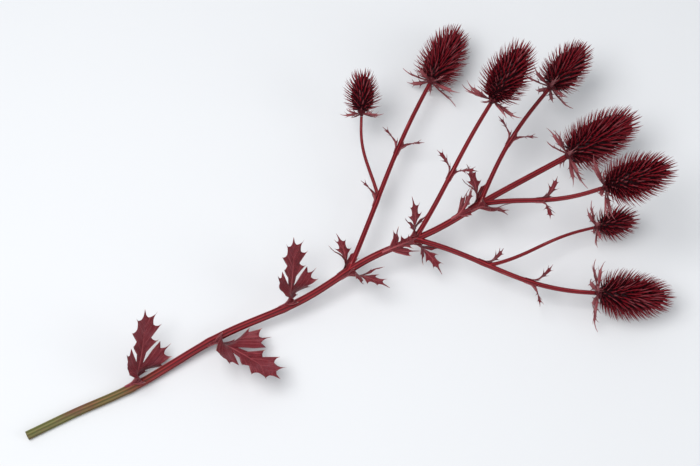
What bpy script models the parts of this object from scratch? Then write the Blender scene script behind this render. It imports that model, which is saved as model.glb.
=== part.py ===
"""A cut stem of sea holly lying on its side: a ribbed main stem, branching side stems, clasping
toothed leaves, a collar of spiny bracts under every head, and heads set all over with spines.

The stem lies along +X with its cut end at -X and its heads at +X. +Z is up and the surface that
it lies on is z = 0. The origin is the middle of its outline, on that surface.
"""

from math import cos, pi, radians, sin
from typing import NamedTuple

import bmesh
import bpy
import numpy as np
from mathutils import Vector
from mathutils.geometry import delaunay_2d_cdt

MM = 0.001
UP = np.array([0.0, 0.0, 1.0])
GAP = 0.3 * MM  # between each piece and what carries it

# Stems. The main stem's axis is points in millimetres from the cut end to the top head's foot.
MAIN_AXIS = [
    (0, 0, 3.1),
    (42, 0, 3.1),
    (100, -2, 5.2),
    (178, 3, 11.5),
    (252, -2, 19.5),
    (318, 3, 27),
    (378, -1.5, 33.5),
    (436, 1.5, 39),
    (512, 4, 44.5),
]
MAIN_RADII = (3.6, 2.3)
MAIN_RINGS = 18
MAIN_RIBS = 7
SIDE_RINGS = 8
SIDE_RIBS = 6
RIB_RELIEF = 0.06  # how far a rib stands out, as a share of the stem's radius
TIP_RUN = 8 * MM  # the straight end of every stem, under its head
CUTTER_REACH = 22 * MM  # of the stretch of parent stem that a side stem's foot is cut to

# Cores of the heads, and the spines on them.
CORE_WIDEST = 0.36  # height of the widest place, as a share of the core's height
CORE_FOOT = 0.5  # radius of the core's foot, as a share of its widest radius
CROWN_SHARE = 0.36  # radius where the rows of cells end and the crown begins
CELL_STRETCH = 1.28  # height of a diamond cell, as a share of its width
SPINE_RADIUS = 0.8 * MM  # of a spine where it leaves its cell
SPINE_FIT = 0.26  # the most that radius may be, as a share of the cell's width
SPINE_BOSS = 1.1 * MM  # how far the cell swells up to the spine's foot
SPINE_LEAN = (4, 74)  # degrees above square to the head's axis, at its foot and at its top
SPINE_STRAY = 4  # degrees that a spine may stray from that
SPINE_UNEVEN = 0.1  # share of its length by which a spine is longer or shorter

# Blades: the bracts under the heads, and the leaves on the stems.
BLADE_THICK = 0.7 * MM
COLLAR_HEIGHT = 4.6 * MM
COLLAR_SIDES = 10
BRACT_ROOT = 0.45  # radius where a bract's root starts, as a share of the collar's
BRACT_LENGTH = 30 * MM
BRACT_HALF_WIDTH = 2.7 * MM
BRACT_TWIST = 46  # degrees that a bract turns about its midrib, to each side by turns
BRACT_TWIST_RUN = (0.12, 0.4)  # the stretch in which it turns, as shares of its length
GROUND_CLEAR = 0.4 * MM  # between a bract's tip and the surface that the stem lies on
SHEATH = 6 * MM  # the stretch of a leaf's base that clasps its stem
CLASP = 42  # degrees that the sheath reaches round the stem, to each side
AXIL = 7 * MM  # from a leaf's place on its stem to the side stem above it
OPENING = 0.075  # how fast a leaf opens out past its sheath, as a share of its length
CHANNEL = 38 * MM  # radius of a leaf's cross section once it is clear of its stem
TWIST_RUN = (10 * MM, 26 * MM)  # the stretch, from its base, in which a leaf turns about its midrib
WAVE = 0.8 * MM  # how far the teeth of a leaf stand up or down by turns

# Half outlines of the blades, as (distance from the base, distance from the midrib), in shares
# of the length and the half width. A tooth is a tip and the notch after it.
BRACT_OUTLINE = [(0, 0.4), (0.22, 0.58), (0.45, 1.6), (0.38, 0.62), (0.52, 0.66), (0.72, 1.3),
                 (0.65, 0.44)]
SMALL_OUTLINE = [(0.24, 0.34), (0.42, 1.0), (0.39, 0.42), (0.50, 0.46), (0.68, 0.9), (0.63, 0.34),
                 (0.73, 0.34), (0.86, 0.55), (0.83, 0.2)]
# A leaf in three parts: the outer edge of a side part, its tip, its inner edge down to the
# midrib, then the edge of the middle part.
FORK_OUTLINE = [(0.19, 0.17), (0.30, 0.55), (0.35, 0.45), (0.44, 0.86), (0.47, 0.70), (0.63, 1.0),
                (0.51, 0.42), (0.36, 0.14), (0.50, 0.22), (0.62, 0.47), (0.63, 0.26),
                (0.80, 0.36), (0.80, 0.14)]
PALM_OUTLINE = [(0.13, 0.16), (0.20, 0.52), (0.25, 0.47), (0.31, 0.84), (0.35, 0.72),
                (0.43, 1.0), (0.45, 0.80), (0.55, 0.93), (0.51, 0.66), (0.59, 0.62),
                (0.49, 0.40), (0.32, 0.13), (0.48, 0.20), (0.60, 0.48), (0.64, 0.30),
                (0.77, 0.56), (0.79, 0.34), (0.92, 0.40), (0.89, 0.14)]
LEAF_MIDRIB = (0.24, 0.42, 0.62, 0.8)
PAST_SHEATH = 2.6 * MM


class Head(NamedTuple):
    """A flower head. Its sizes and its foot are in millimetres, and aim is where it points.
    One that lies rests its lowest spine on the surface, whatever height its foot says."""

    name: str
    radius: float
    height: float
    around: int
    spine: float
    foot: tuple
    aim: tuple
    bracts: int
    turn: float
    lies: bool = False


class SideStem(NamedTuple):
    """A side stem, in millimetres and degrees, from its place on its parent to its head."""

    head: str
    parent: str
    place: float
    leaves_at: float
    radii: tuple


class Leaf(NamedTuple):
    """A leaf, in millimetres and degrees. Turn is round its stem from straight up to the left,
    out and tip are how far it has bent away from the stem, past its sheath and at its tip, and
    twist is how far it has turned about its midrib, so that its front shows from above."""

    name: str
    stem: str
    place: float
    turn: float
    length: float
    half_width: float
    out: float
    tip: float
    twist: float
    outline: list


HEADS = [
    Head("top", 12.6, 58, 12, 12.5, MAIN_AXIS[-1], (0.98, 0.04, 0.10), 8, 10),
    Head("left_low", 11.4, 49, 10, 12, (446, 130, 24), (0.80, 0.60, -0.02), 7, 20, True),
    Head("right_low", 11.6, 52, 10, 12, (478, -112, 24), (0.86, -0.51, -0.02), 7, 12, True),
    Head("left_high", 11.0, 45, 10, 11.5, (462, 58, 100), (0.74, 0.36, 0.57), 7, 0),
    Head("right_high", 11.2, 48, 10, 12, (508, -52, 94), (0.86, -0.28, 0.42), 7, 30),
    Head("left_middle", 10.4, 42, 10, 11, (528, 66, 50), (0.91, 0.40, 0.06), 7, 8),
    Head("left_small", 8.0, 29, 8, 9.5, (372, 122, 44), (0.45, 0.82, 0.35), 6, 25),
    Head("right_small", 7.8, 28, 8, 9.5, (508, -58, 21), (0.97, -0.22, 0.0), 6, 5),
]

SIDE_STEMS = [
    SideStem("left_low", "main", 300, 36, (2.2, 1.7)),
    SideStem("right_low", "main", 362, 36, (2.2, 1.7)),
    SideStem("left_high", "main", 362, 38, (2.1, 1.6)),
    SideStem("right_high", "main", 425, 38, (2.1, 1.6)),
    SideStem("left_middle", "main", 425, 36, (2.0, 1.6)),
    SideStem("left_small", "left_low", 72, 38, (1.5, 1.2)),
    SideStem("right_small", "right_low", 66, 38, (1.5, 1.2)),
]

LEAVES = [
    Leaf("leaf_low", "main", 92, 44, 74, 27, 52, 66, 58, PALM_OUTLINE),
    Leaf("leaf_middle", "main", 168, -74, 78, 28, 60, 70, -62, PALM_OUTLINE),
    Leaf("leaf_upper", "main", 236, 50, 66, 23, 60, 68, 56, PALM_OUTLINE),
    Leaf("leaf_fork_low", "main", 293, -74, 48, 16, 50, 72, -60, FORK_OUTLINE),
    Leaf("leaf_fork_middle", "main", 335, -20, 44, 14, 46, 62, -24, FORK_OUTLINE),
    Leaf("leaf_fork_high", "main", 400, 18, 40, 13, 46, 66, 20, FORK_OUTLINE),
]
AXIL_LEAVES = {"main": (44, 14, 62, 86, FORK_OUTLINE), "side": (28, 6, 62, 84, SMALL_OUTLINE)}
SIDE_TWIST = 58  # of the small leaves, towards the side that they grow on
STALK_PAIRS = {"left_low": 0.62, "right_low": 0.64, "left_high": 0.46, "right_high": 0.5,
               "left_middle": 0.5}


def unit(vector):
    vector = np.array(vector, float)
    return vector / np.linalg.norm(vector)


def evenly(curve, count):
    """The same curve as this many points at equal distances along it."""
    along = np.concatenate([[0], np.cumsum(np.linalg.norm(np.diff(curve, axis=0), axis=1))])
    wanted = np.linspace(0, along[-1], count)
    return np.column_stack([np.interp(wanted, along, curve[:, i]) for i in range(3)])


def smooth_through(points, count):
    """Even points on a smooth curve through the given ones (a Catmull-Rom spline)."""
    ends = np.vstack([2 * points[0] - points[1], points, 2 * points[-1] - points[-2]])
    t = np.linspace(0, 1, 40, endpoint=False)[:, None]
    runs = [0.5 * (2 * b + (c - a) * t + (2 * a - 5 * b + 4 * c - d) * t**2
                   + (3 * b - a - 3 * c + d) * t**3)
            for a, b, c, d in zip(ends, ends[1:], ends[2:], ends[3:])]
    return evenly(np.vstack([*runs, points[-1:]]), count)


def bent_between(start, away, end, arriving, count):
    """Even points on a cubic Bezier curve that leaves start one way and arrives at end another."""
    handle = 0.4 * np.linalg.norm(end - start)
    one, two = start + handle * away, end - handle * arriving
    t = np.linspace(0, 1, 200)[:, None]
    curve = ((1 - t)**3 * start + 3 * (1 - t)**2 * t * one + 3 * (1 - t) * t**2 * two
             + t**3 * end)
    return evenly(curve, count)


class Axis:
    """The middle line of a stem, as straight runs between its rings, with its radius."""

    def __init__(self, points, radii):
        self.points = points
        steps = np.linalg.norm(np.diff(points, axis=0), axis=1)
        self.along = np.concatenate([[0], np.cumsum(steps)])
        self.radii = np.interp(self.along, [0, self.along[-1]], np.array(radii) * MM)

    def at(self, place):
        return np.array([np.interp(place, self.along, self.points[:, i]) for i in range(3)])

    def direction(self, place):
        run = np.searchsorted(self.along, place, side="right") - 1
        run = min(max(run, 0), len(self.points) - 2)
        return unit(self.points[run + 1] - self.points[run])

    def radius(self, place):
        """Radius out to the ribs."""
        return float(np.interp(place, self.along, self.radii)) * (1 + RIB_RELIEF)

    def outward(self, place, turn):
        """The way out of the stem, turned by this many degrees from straight up to the left."""
        forward = self.direction(place)
        upward = unit(UP - UP.dot(forward) * forward)
        left = np.cross(upward, forward)
        return cos(radians(turn)) * upward + sin(radians(turn)) * left

    def turn_towards(self, place, target):
        """The turn, in degrees, that faces this point."""
        across = target - self.at(place)
        left = across.dot(self.outward(place, 90))
        return float(np.degrees(np.arctan2(left, across.dot(self.outward(place, 0)))))

    def stretch(self, low, high):
        """The part of the axis between two places, ending on its own rings."""
        kept = (self.along >= low) & (self.along <= high)
        first = max(kept.nonzero()[0][0] - 1, 0)
        last = min(kept.nonzero()[0][-1] + 1, len(self.points) - 1)
        part = Axis(self.points[first:last + 1], (1, 1))
        part.radii = self.radii[first:last + 1]
        return part


def add_material(name, colour, roughness):
    """A plant surface of one colour."""
    material = bpy.data.materials.new(name)
    material.use_nodes = True
    shader = material.node_tree.nodes["Principled BSDF"]
    shader.inputs["Base Color"].default_value = (*colour, 1)
    shader.inputs["Roughness"].default_value = roughness
    shader.inputs["Metallic"].default_value = 0
    return material


def add_object(name, verts, faces, material=None):
    """A mesh object with its faces pointing out."""
    mesh = bpy.data.meshes.new(name)
    mesh.from_pydata([tuple(map(float, v)) for v in verts], [], faces)
    shell = bmesh.new()
    shell.from_mesh(mesh)
    bmesh.ops.recalc_face_normals(shell, faces=shell.faces)
    shell.to_mesh(mesh)
    shell.free()
    mesh.shade_smooth()
    mesh.set_sharp_from_angle(angle=radians(40))
    if material is not None:
        mesh.materials.append(material)
    obj = bpy.data.objects.new(name, mesh)
    bpy.context.collection.objects.link(obj)
    return obj


def stand_on(obj, foot, aim):
    """Moves an object made about +Z to a foot, pointing along aim."""
    obj.rotation_mode = "QUATERNION"
    obj.rotation_quaternion = Vector(aim).to_track_quat("Z", "X")
    obj.location = Vector(foot)


def tube_mesh(axis, ribs, extra=0.0):
    """Rings of ribs and grooves carried along a stem without twist, with both ends closed. A rib
    that would go below the surface is pressed flat on it."""
    sides = 2 * ribs
    angles = (np.arange(sides) * 2 * pi / sides)[:, None]
    relief = 1 + RIB_RELIEF * (-1.0) ** np.arange(sides)
    across = axis.outward(0, 0)
    verts = []
    for centre, place, radius in zip(axis.points, axis.along, axis.radii):
        forward = unit(axis.direction(place - MM) + axis.direction(place + MM))
        across = unit(across - across.dot(forward) * forward)
        aside = np.cross(forward, across)
        spread = (radius * relief + extra)[:, None]
        ring = centre + spread * (np.cos(angles) * across + np.sin(angles) * aside)
        if extra == 0.0:
            ring[:, 2] = ring[:, 2].clip(min=0.0)
        verts.extend(ring)
    last = len(verts) - sides
    faces = [tuple(range(sides))[::-1], tuple(range(last, last + sides))]
    for start in range(0, last, sides):
        for j in range(sides):
            k = (j + 1) % sides
            faces.append((start + j, start + k, start + sides + k, start + sides + j))
    return verts, faces


def core_side(head):
    """Radius and height of a head's core at close steps from its foot to its top."""
    share = np.linspace(0, 1, 400)
    below = 1 - (1 - CORE_FOOT) * ((CORE_WIDEST - share) / CORE_WIDEST).clip(0) ** 2
    above = (1 - ((share - CORE_WIDEST) / (1 - CORE_WIDEST)).clip(0) ** 2.3) ** 0.55
    radius = head.radius * MM * np.where(share < CORE_WIDEST, below, above)
    return radius, head.height * MM * share


def core_rings(head):
    """Rings of points round a head's core, each turned half a step from the one below, so that
    they bound rows of diamond cells."""
    radius, height = core_side(head)
    steps = np.hypot(np.diff(radius), np.diff(height))
    along = np.concatenate([[0], np.cumsum(steps)])
    crown = along[radius > CROWN_SHARE * radius.max()][-1]
    cell_height = CELL_STRETCH * 2 * pi * radius.max() / head.around
    rows = round(crown / (cell_height / 2))
    rings = []
    for row, level in enumerate(np.linspace(0, crown, rows + 1)):
        angle = 2 * pi * (np.arange(head.around) + 0.5 * (row % 2)) / head.around
        out = np.interp(level, along, radius)
        rings.append(np.column_stack([out * np.cos(angle), out * np.sin(angle),
                                      np.full(head.around, np.interp(level, along, height))]))
    return rings


def spiny_head_mesh(head, seed):
    """A core about +Z, with a three-sided spine raised from the middle of each diamond cell and
    a crown of spines on its top."""
    draw = np.random.default_rng(seed)
    rings = core_rings(head)
    count, last = head.around, len(rings) - 1
    tall = head.height * MM
    verts = [*np.vstack(rings), np.zeros(3), np.array([0, 0, tall])]
    middle, top = len(verts) - 2, len(verts) - 1

    def on(row, j):
        return row * count + j % count

    faces, cells = [], []
    for j in range(count):
        faces.append((middle, on(0, j + 1), on(0, j)))
        faces.append((on(0, j), on(0, j + 1), on(1, j)))
        faces.append((on(last - 1, j + last % 2), on(last, j + 1), on(last, j)))
        cells += [(on(row - 1, j + row % 2), on(row, j + 1), on(row + 1, j + row % 2), on(row, j))
                  for row in range(1, last)]
    cells += [(on(last, j + 1), on(last, j + 2), top, on(last, j)) for j in range(0, count, 2)]

    for low, right, high, left in cells:
        corners = np.array([verts[i] for i in (low, right, high, left)])
        wide, tip_way = corners[1] - corners[3], corners[2] - corners[0]
        normal = unit(np.cross(wide, tip_way))
        across = unit(wide)
        up = np.cross(normal, across)
        foot = corners.mean(axis=0) + SPINE_BOSS * normal
        share = foot[2] / tall
        stray, turn = draw.uniform(-SPINE_STRAY, SPINE_STRAY, 2)
        lean = radians(np.interp(share, [0, 1], SPINE_LEAN) + stray)
        bearing = np.arctan2(foot[1], foot[0]) + radians(turn)
        way = np.array([cos(lean) * cos(bearing), cos(lean) * sin(bearing), sin(lean)])
        length = head.spine * MM * (1 + draw.uniform(-SPINE_UNEVEN, SPINE_UNEVEN))
        thick = min(SPINE_RADIUS, SPINE_FIT * np.linalg.norm(wide))
        a = len(verts)
        verts += [foot + thick * (cos(t) * across + sin(t) * up)
                  for t in (-pi / 2, pi / 6, 5 * pi / 6)]
        verts.append(foot + length * way)
        b, c, point = a + 1, a + 2, a + 3
        faces += [(low, right, a), (right, b, a), (right, high, b), (high, c, b), (high, left, c),
                  (left, a, c), (left, low, a), (a, b, point), (b, c, point), (c, a, point)]
    return verts, faces


def blade_outline(half, length, half_width, lead=()):
    """A blade's outline, from its base up the left side to the tip and down the right side.
    Lead is points of the left side before the half outline, as real distances."""
    left = [*lead, *((u * length, v * half_width) for u, v in half)]
    right = [(u, -v) for u, v in reversed(left)]
    return [*left, (length, 0.0), *right]


def blade_mesh(outline, inner, bend, wave=0.0):
    """A thin blade, cut to its outline and bent. Bend gives the point and the normal at a
    distance from the base and from the midrib. Both faces are split into the same triangles."""
    flat = outline + inner
    rim = list(range(len(outline)))
    _, _, triangles, *_ = delaunay_2d_cdt([Vector(p) for p in flat], [], [rim], 1, 1e-7)
    front, back = [], []
    for i, (u, v) in enumerate(flat):
        point, normal = bend(u, v)
        side_tooth = 0 < i < len(outline) - 1 and abs(v) > max(
            abs(outline[i - 1][1]), abs(outline[i + 1][1]))
        point = point + normal * (wave * (-1) ** (i // 2) if side_tooth else 0.0)
        front.append(point + normal * BLADE_THICK / 2)
        back.append(point - normal * BLADE_THICK / 2)
    n = len(flat)
    faces = [tuple(t) for t in triangles] + [tuple(i + n for i in reversed(t)) for t in triangles]
    for i in rim:
        j = (i + 1) % len(rim)
        faces += [(i, j, j + n), (i, j + n, i + n)]
    return front + back, faces


def curving(bend_angles, length, start, outward, forward):
    """How far a blade's midrib has gone, for a midrib that starts at a point and turns away from
    forward, towards outward, by these (distance, degrees) pairs. It gives, for a distance from
    the base, the midrib's point, its direction and the direction that the blade's front faces."""
    place = np.linspace(0, length, 200)
    angle = np.radians(np.interp(place, *zip(*bend_angles)))
    window = np.hanning(21)
    angle = np.convolve(np.pad(angle, 10, "edge"), window / window.sum(), "valid")
    step = place[1]
    run = np.concatenate([[0], np.cumsum((np.cos(angle[1:]) + np.cos(angle[:-1])) / 2 * step)])
    rise = np.concatenate([[0], np.cumsum((np.sin(angle[1:]) + np.sin(angle[:-1])) / 2 * step)])

    def along(u):
        a = np.interp(u, place, angle)
        point = start + np.interp(u, place, run) * forward + np.interp(u, place, rise) * outward
        return point, sin(a) * forward - cos(a) * outward

    return along


def leaf_blade(leaf, axis):
    """A leaf: its sheath clasps the stem, then the blade bends away and opens flatter."""
    place, length, half_width = leaf.place * MM, leaf.length * MM, leaf.half_width * MM
    outward, forward = axis.outward(place, leaf.turn), axis.direction(place)
    aside = np.cross(forward, outward)
    clasp = radians(CLASP)
    hug = (axis.radius(place) + GAP) / cos(clasp / 2) + BLADE_THICK / 2
    start = axis.at(place) + hug * outward - SHEATH / 2 * forward
    bends = [(0, 0), (SHEATH, 2), (SHEATH + 7 * MM, leaf.out), (length, leaf.tip)]
    along = curving(bends, length, start, outward, forward)

    def bend(u, v):
        middle, front = along(u)
        turned = np.interp(u, TWIST_RUN, [0, 1])
        twist = radians(leaf.twist) * turned**2 * (3 - 2 * turned)
        across = cos(twist) * aside - sin(twist) * front
        front = cos(twist) * front + sin(twist) * aside
        fade = np.exp(-max(u - SHEATH, 0) / (OPENING * length))
        curl = fade / hug + (1 - fade) / CHANNEL
        swing = curl * v
        point = middle + sin(swing) / curl * across + (1 - cos(swing)) / curl * front
        return point, cos(swing) * front - sin(swing) * across

    base = hug * clasp
    outline = blade_outline(leaf.outline, length, half_width, [(0, base), (SHEATH, base)])
    inner = [(SHEATH, 0.0), (SHEATH + PAST_SHEATH, 0.0)]
    inner += [(share * length, 0.0) for share in LEAF_MIDRIB if share * length > inner[-1][0]]
    return blade_mesh(outline + [(0.0, 0.0)], inner, bend, WAVE)


def bract_blade(root, bearing, length, bends, level, twist):
    """A bract of a head's collar, in the head's own frame, rooted inside the collar."""
    outward = np.array([cos(bearing), sin(bearing), 0])
    aside = np.cross(UP, outward)
    along = curving(bends, length, root * outward + level * UP, outward, UP)

    def bend(u, v):
        middle, front = along(u)
        turned = radians(twist) * np.interp(u / length, BRACT_TWIST_RUN, [0, 1])
        return (middle + v * (cos(turned) * aside + sin(turned) * front),
                cos(turned) * front - sin(turned) * aside)

    outline = blade_outline(BRACT_OUTLINE, length, BRACT_HALF_WIDTH * (length / BRACT_LENGTH)**0.5)
    return blade_mesh(outline, [], bend)


def collar(head, foot, stem_radius, material, seed):
    """The swollen end of a stem under its head, with the bracts that grow from it, as one piece.
    A bract that would reach the surface is shorter."""
    draw = np.random.default_rng(seed)
    name = "bracts_" + head.name
    wide = 0.92 * CORE_FOOT * head.radius * MM
    levels = ((-GAP - COLLAR_HEIGHT, stem_radius), (-GAP - 0.45 * COLLAR_HEIGHT, 0.8 * wide),
              (-GAP, wide))
    angles = np.arange(COLLAR_SIDES) * 2 * pi / COLLAR_SIDES
    verts = [(r * cos(a), r * sin(a), z) for z, r in levels for a in angles]
    n = COLLAR_SIDES
    faces = [tuple(range(n))[::-1], tuple(range(2 * n, 3 * n))]
    faces += [(s + j, s + (j + 1) % n, s + n + (j + 1) % n, s + n + j)
              for s in (0, n) for j in range(n)]
    body = add_object(name, verts, faces, material)
    stand_on(body, foot, head.aim)
    turned = np.array(body.rotation_quaternion.to_matrix())

    blades = bpy.data.collections.new(name + "_blades")
    size = (head.radius / HEADS[0].radius) ** 0.8
    for i in range(head.bracts):
        bearing = radians(head.turn + 360 * (i + draw.uniform(-0.12, 0.12)) / head.bracts)
        length = BRACT_LENGTH * size * draw.uniform(0.82, 1.12)
        back = draw.uniform(-12, 16)
        tip = draw.choice([58, 66, 78, 118])
        while True:
            bends = [(0, 98), (0.25 * length, 100 + back / 2), (0.6 * length, 92 + back / 2),
                     (length, tip + back / 2)]
            made = bract_blade(BRACT_ROOT * wide, bearing, length, bends, -0.5 * COLLAR_HEIGHT,
                               (-1) ** i * BRACT_TWIST)
            low = (np.array(made[0]) @ turned.T + foot)[:, 2].min()
            if low > GROUND_CLEAR:
                break
            length *= 0.94
        blade = add_object(f"{name}_blade_{i}", *made)
        stand_on(blade, foot, head.aim)
        bpy.context.collection.objects.unlink(blade)
        blades.objects.link(blade)

    joined = body.modifiers.new("blades", "BOOLEAN")
    joined.operation = "UNION"
    joined.operand_type = "COLLECTION"
    joined.collection = blades
    joined.solver = "EXACT"
    bpy.context.view_layer.update()
    graph = bpy.context.evaluated_depsgraph_get()
    whole = bpy.data.meshes.new_from_object(body.evaluated_get(graph))
    body.modifiers.clear()
    body.data = whole
    for blade in list(blades.objects):
        bpy.data.objects.remove(blade)
    bpy.data.collections.remove(blades)
    return body


def cut_to_parent(obj, parent, place):
    """Cuts a side stem's foot to the surface of the stem that it grows from, a gap away."""
    near = parent.stretch(place - CUTTER_REACH, place + CUTTER_REACH)
    ribs = MAIN_RIBS if parent.radii[0] > 3 * MM else SIDE_RIBS
    cutter = add_object(obj.name + "_cutter", *tube_mesh(near, ribs, GAP + RIB_RELIEF * 3 * MM))
    cutter.hide_render = True
    cutter.display_type = "WIRE"
    cut = obj.modifiers.new("foot", "BOOLEAN")
    cut.operation = "DIFFERENCE"
    cut.object = cutter
    cut.solver = "EXACT"


def lay_down(head, mesh):
    """The head's foot, at the height where its lowest spine meets the surface if it lies."""
    foot = np.array(head.foot, float) * MM
    if head.lies:
        turned = np.array(Vector(head.aim).to_track_quat("Z", "X").to_matrix())
        foot[2] = -(np.array(mesh[0]) @ turned.T)[:, 2].min()
    return foot


def main():
    for obj in list(bpy.data.objects):
        bpy.data.objects.remove(obj)

    stem_skin = add_material("stem_skin", (0.150, 0.010, 0.014), 0.45)
    spine_skin = add_material("spine_skin", (0.085, 0.005, 0.009), 0.6)
    bract_skin = add_material("bract_skin", (0.130, 0.016, 0.022), 0.5)
    leaf_skin = add_material("leaf_skin", (0.110, 0.013, 0.018), 0.5)

    # Heads, each with its spines.
    feet = {}
    for seed, head in enumerate(HEADS):
        mesh = spiny_head_mesh(head, seed)
        feet[head.name] = lay_down(head, mesh)
        stand_on(add_object("head_" + head.name, *mesh, spine_skin), feet[head.name], head.aim)
    aims = {head.name: unit(head.aim) for head in HEADS}

    # Main stem, which ends straight under the top head.
    end = feet["top"] - (COLLAR_HEIGHT + 2 * GAP) * aims["top"]
    middle = np.array(MAIN_AXIS[:-1], float) * MM
    curve = smooth_through(np.vstack([middle, end - TIP_RUN * aims["top"]]), MAIN_RINGS)
    axes = {"main": Axis(np.vstack([curve, end]), MAIN_RADII)}
    add_object("main_stem", *tube_mesh(axes["main"], MAIN_RIBS), stem_skin)

    # Side stems, each from its parent to its head.
    leaves = list(LEAVES)
    for stem in SIDE_STEMS:
        parent, place = axes[stem.parent], stem.place * MM
        end = feet[stem.head] - (COLLAR_HEIGHT + 2 * GAP) * aims[stem.head]
        turn = parent.turn_towards(place, end)
        lean = radians(stem.leaves_at)
        away = cos(lean) * parent.direction(place) + sin(lean) * parent.outward(place, turn)
        curve = bent_between(parent.at(place), away, end - TIP_RUN * aims[stem.head],
                             aims[stem.head], SIDE_RINGS)
        axes[stem.head] = Axis(np.vstack([curve, end]), stem.radii)
        made = add_object("side_stem_" + stem.head, *tube_mesh(axes[stem.head], SIDE_RIBS),
                          stem_skin)
        cut_to_parent(made, parent, place)
        length, half_width, out, tip, outline = AXIL_LEAVES[
            "main" if stem.parent == "main" else "side"]
        leaves.append(Leaf("leaf_under_" + stem.head, stem.parent, stem.place - AXIL / MM, turn,
                           length, half_width, out, tip, float(np.sign(turn)) * SIDE_TWIST,
                           outline))

    # Pairs of small leaves part of the way up the side stems.
    for name, share in STALK_PAIRS.items():
        place = share * axes[name].along[-1] / MM
        for side, turn in (("a", 75), ("b", -80)):
            leaves.append(Leaf(f"leaf_{name}_{side}", name, place, turn, 29, 5.6, 54, 76,
                               float(np.sign(turn)) * SIDE_TWIST, SMALL_OUTLINE))
    for leaf in leaves:
        add_object(leaf.name, *leaf_blade(leaf, axes[leaf.stem]), leaf_skin)

    # Bracts under every head.
    for seed, head in enumerate(HEADS):
        axis = axes["main" if head.name == "top" else head.name]
        collar(head, feet[head.name], axis.radii[-1], bract_skin, 100 + seed)

    # Everything hangs from one empty, moved so that the outline's middle is the origin.
    bpy.context.view_layer.update()
    graph = bpy.context.evaluated_depsgraph_get()
    points = []
    for obj in bpy.data.objects:
        if not obj.hide_render:
            shape = obj.evaluated_get(graph)
            points += [shape.matrix_world @ v.co for v in shape.data.vertices]
    points = np.array(points)
    middle = (points.min(axis=0) + points.max(axis=0)) / 2
    holder = bpy.data.objects.new("sea_holly_stem", None)
    bpy.context.collection.objects.link(holder)
    for obj in bpy.data.objects:
        if obj is not holder:
            obj.parent = holder
    holder.location = (-middle[0], -middle[1], 0)


main()
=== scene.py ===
"""A cut stem of sea holly, dyed dark red and laid on its side, seen from above."""

import bpy
import numpy as np
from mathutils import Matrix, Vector


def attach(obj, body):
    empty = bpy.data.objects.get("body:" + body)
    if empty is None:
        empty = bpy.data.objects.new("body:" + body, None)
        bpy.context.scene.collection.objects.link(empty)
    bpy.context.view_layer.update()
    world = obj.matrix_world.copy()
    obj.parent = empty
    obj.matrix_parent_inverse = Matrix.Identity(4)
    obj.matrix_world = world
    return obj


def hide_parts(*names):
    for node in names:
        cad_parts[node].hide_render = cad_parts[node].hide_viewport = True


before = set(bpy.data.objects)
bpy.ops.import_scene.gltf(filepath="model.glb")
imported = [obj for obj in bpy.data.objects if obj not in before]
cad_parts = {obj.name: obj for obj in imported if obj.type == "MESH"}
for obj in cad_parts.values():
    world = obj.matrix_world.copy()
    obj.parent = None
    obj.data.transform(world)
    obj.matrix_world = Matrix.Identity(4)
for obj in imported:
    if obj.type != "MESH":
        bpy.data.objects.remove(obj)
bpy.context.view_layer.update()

# The main stem: one solid woody stem, ribbed along its whole length, a little swollen where it
# carries leaves and side stems, and cut square at its lower end, where the dye never reached it
# and its pith shows pale.

MM = 0.001
UP = np.array([0.0, 0.0, 1.0])
MAIN_AXIS = [
    (0, 0, 3.1),
    (42, 0, 3.1),
    (100, -2, 5.2),
    (178, 3, 11.5),
    (252, -2, 19.5),
    (318, 3, 27),
    (378, -1.5, 33.5),
    (436, 1.5, 39),
    (512, 4, 44.5),
]
MAIN_RADII = (3.6 * MM, 2.3 * MM)
MAIN_FORKS = (300 * MM, 362 * MM, 425 * MM)
MAIN_RIBS = 7
MAIN_LEAVES = (92 * MM, 168 * MM, 236 * MM)
MAIN_POINTS = 420
MAIN_COLUMNS = 112
SPLINE_POINTS = 60  # to each stretch
RIB_RELIEF = 0.075
STRIA_RELIEF = 0.014
NODE_SWELL = 0.12
NODE_LENGTH = 4.5 * MM
NODE_BELOW = 5 * MM  # a fork
FLARE_RUN = 1.6 * MM
CAP_RINGS = (0.05, 0.25, 0.5, 0.68, 0.8, 0.9, 0.97)  # of the cut end, as shares of its radius
CAP_PITH = (1.0, 1.0, 1.0, 0.9, 0.5, 0.35, 0.1)  # how much of each ring is pith
CAP_RISE = ((0, 0.55, 0.8, 1), (0.35 * MM, 0.25 * MM, -0.05 * MM, 0))
TIP_RUN = 8 * MM
COLLAR_HEIGHT = 4.6 * MM
GAP = 0.3 * MM
FOOT_RING = 0.05 * MM
AIMS = {
    "top": (0.98, 0.04, 0.10),
    "left_low": (0.80, 0.60, -0.02),
    "right_low": (0.86, -0.51, -0.02),
    "left_high": (0.74, 0.36, 0.57),
    "right_high": (0.86, -0.28, 0.42),
    "left_middle": (0.91, 0.40, 0.06),
    "left_small": (0.45, 0.82, 0.35),
    "right_small": (0.97, -0.22, 0.0),
}
DYED_STEM = (0.175, 0.009, 0.014)
# The rib colours are painted highlights on the ribs' crests, and the groove colour is painted
# shade in the grooves.
DYED_RIB_HIGHLIGHT = (0.300, 0.020, 0.027)
DYED_GROOVE_SHADE = (0.080, 0.005, 0.009)
DYED_SCUFF = (0.330, 0.075, 0.080)
BARE_STEM = (0.095, 0.100, 0.028)
# A painted highlight on the ribs' crests where the stem is bare.
BARE_RIB_HIGHLIGHT = (0.190, 0.175, 0.060)
BARE_FLUSH = (0.150, 0.070, 0.045)
PITH = (0.560, 0.490, 0.310)
PITH_PORE = (0.330, 0.280, 0.140)
DYE_STARTS = (-0.272, -0.150)


def unit(vectors):
    """Each vector over its length."""
    vectors = np.asarray(vectors, float)
    return vectors / np.linalg.norm(vectors, axis=-1, keepdims=True)


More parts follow.
